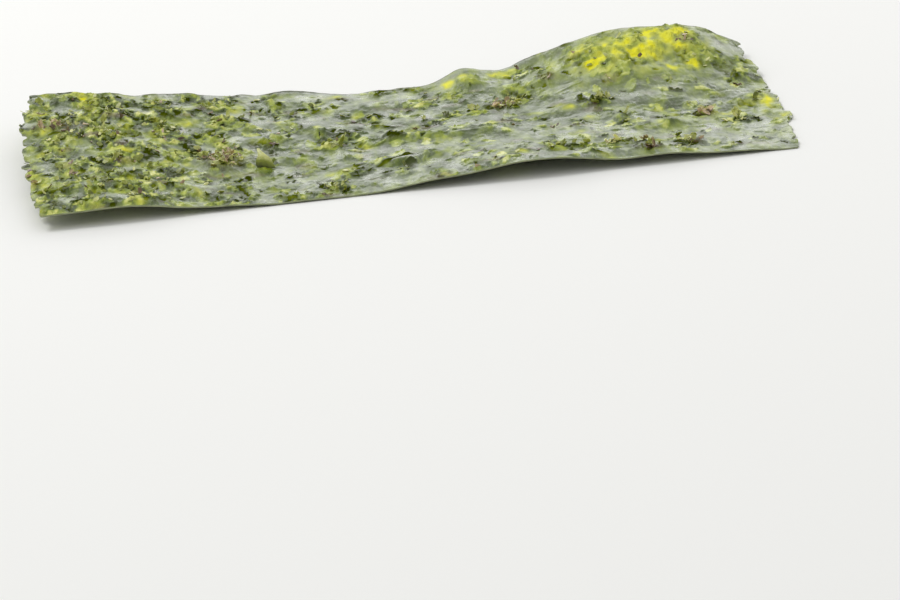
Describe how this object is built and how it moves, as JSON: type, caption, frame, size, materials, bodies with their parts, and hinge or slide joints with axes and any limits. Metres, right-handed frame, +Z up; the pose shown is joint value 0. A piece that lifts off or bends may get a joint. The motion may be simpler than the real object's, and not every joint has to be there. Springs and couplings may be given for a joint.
{
  "type": "nori sheet",
  "caption": "Thin wavy rectangle of roasted dried seaweed with torn short edges, a lifted back corner and small curled flakes on its top face.",
  "frame": {"origin": "on the surface it rests on, under the middle of the sheet's bounding box", "axes": "+X along the long side, +Y across the sheet towards its lifted long edge, +Z up"},
  "size_m": [0.0932, 0.0478, 0.006],
  "materials": {
    "roasted_laver": "satin, oiled"
  },
  "bodies": {
    "root": {"nori_sheet": "roasted_laver"}
  },
  "joints": []
}
